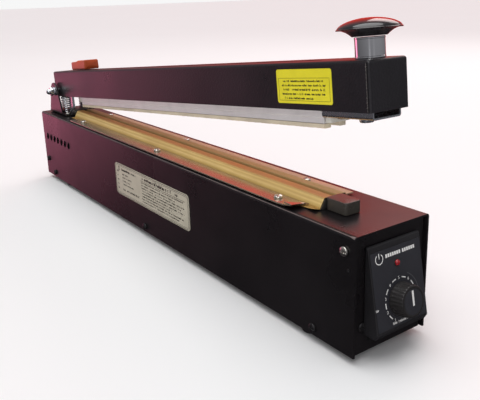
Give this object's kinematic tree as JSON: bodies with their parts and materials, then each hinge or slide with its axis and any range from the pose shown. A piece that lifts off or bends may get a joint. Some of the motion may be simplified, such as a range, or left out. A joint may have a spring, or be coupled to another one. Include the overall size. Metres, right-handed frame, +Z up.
{
  "type": "impulse heat sealer",
  "caption": "Bench impulse heat sealer: long sheet-metal base with a heated bar, a hinged press arm with a mushroom handle, a sliding bag cutter and a timer dial on a sloping console.",
  "frame": {"origin": "middle of the footprint at bench level, under the feet", "axes": "+X along the body towards the control console, -Y the long side with the instruction plate, +Z up"},
  "size_m": [0.5822, 0.0704, 0.2089],
  "materials": {
    "black_paint": "black textured powder coat",
    "black_steel": "blackened screw steel",
    "plain_steel": "plain steel",
    "nickel": "bright nickel plate",
    "zinc": "bright zinc plate",
    "chrome": "polished chrome",
    "aluminium": "matt anodised",
    "strip_metal": "rolled strip",
    "nichrome": "resistance alloy ribbon",
    "glass_cloth": "coated glass cloth",
    "silicone": "matt silicone",
    "nylon": "natural nylon",
    "black_plastic": "glossy moulding",
    "grey_block": "moulded phenolic",
    "orange_plastic": "moulded, slightly glossy",
    "red_lamp": "translucent lens",
    "black_rubber": "matt rubber",
    "core_iron": "varnished laminations",
    "copper": "enamelled winding under tape",
    "board_laminate": "solder-masked laminate",
    "lead_insulation": "sleeved leads"
  },
  "bodies": {
    "base": {"back_clamp_strip": "strip_metal", "back_heating_element": "nichrome", "base_casing": "black_paint", "bottom_plate": "black_paint", "bracket_screw_back": "nickel", "bracket_screw_front": "nickel", "control_console": "black_paint", "cord_gland": "black_rubber", "far_terminal_block": "grey_block", "foot_near_back": "black_rubber", "foot_near_front": "black_rubber", "foot_rear_back": "black_rubber", "foot_rear_front": "black_rubber", "front_clamp_strip": "strip_metal", "front_end_panel": "black_paint", "front_heating_element": "nichrome", "front_panel_screw_back": "nickel", "front_panel_screw_front": "nickel", "heater_bar": "aluminium", "hinge_bracket": "black_paint", "hinge_domed_nut": "chrome", "lamp_lens": "red_lamp", "micro_switch": "black_plastic", "near_terminal_block": "grey_block", "pivot_bolt": "plain_steel", "rear_end_panel": "black_paint", "rear_panel_screw_back": "black_steel", "rear_panel_screw_front": "black_steel", "return_spring_back": "zinc", "return_spring_front": "zinc", "seal_cloth": "glass_cloth", "strip_screw_back_1": "nickel", "strip_screw_back_2": "nickel", "strip_screw_back_3": "nickel", "strip_screw_front_1": "nickel", "strip_screw_front_2": "nickel", "strip_screw_front_3": "nickel", "timer_board": "board_laminate", "transformer_coil": "copper", "transformer_core": "core_iron", "tray_screw_middle_back": "black_steel", "tray_screw_middle_front": "black_steel", "tray_screw_near_back": "black_steel", "tray_screw_near_front": "black_steel", "tray_screw_rear_back": "black_steel", "tray_screw_rear_front": "black_steel", "wiring_harness": "lead_insulation"},
    "arm": {"arm_cover": "black_paint", "arm_end_bracket": "zinc", "arm_lever": "zinc", "back_press_pad": "silicone", "front_press_pad": "silicone", "handle_cap": "black_plastic", "handle_column": "chrome", "press_channel": "aluminium"},
    "cutter": {"cutter_blade": "plain_steel", "cutter_carriage": "nylon", "cutter_knob": "orange_plastic"},
    "dial": {"timer_knob": "black_plastic"},
    "plunger": {"switch_plunger": "orange_plastic"}
  },
  "joints": [
    {"name": "arm_hinge", "type": "hinge", "parent": "base", "child": "arm", "pos_m": [-0.25607, -0.0035, 0.113], "axis": [0, 1, 0], "range_deg": [0, 5.45], "stiffness_Nm_per_rad": 10, "springref_deg": -28.65, "deforming": ["return_spring_front", "return_spring_back"]},
    {"name": "cutter_slide", "type": "slide", "parent": "arm", "child": "cutter", "axis": [0.9955, 0, 0.095], "range_m": [0, 0.395]},
    {"name": "timer_turn", "type": "hinge", "parent": "base", "child": "dial", "pos_m": [0.27928, 0, 0.03912], "axis": [0.9836, 0, 0.1805], "range_deg": [-150, 150]},
    {"name": "switch_press", "type": "slide", "parent": "base", "child": "plunger", "axis": [-1, 0, 0], "range_m": [0, 0.0036]}
  ],
  "couplings": [
    {"joint": "switch_press", "follows": "arm_hinge", "m_per_rad": 0.0376}
  ]
}
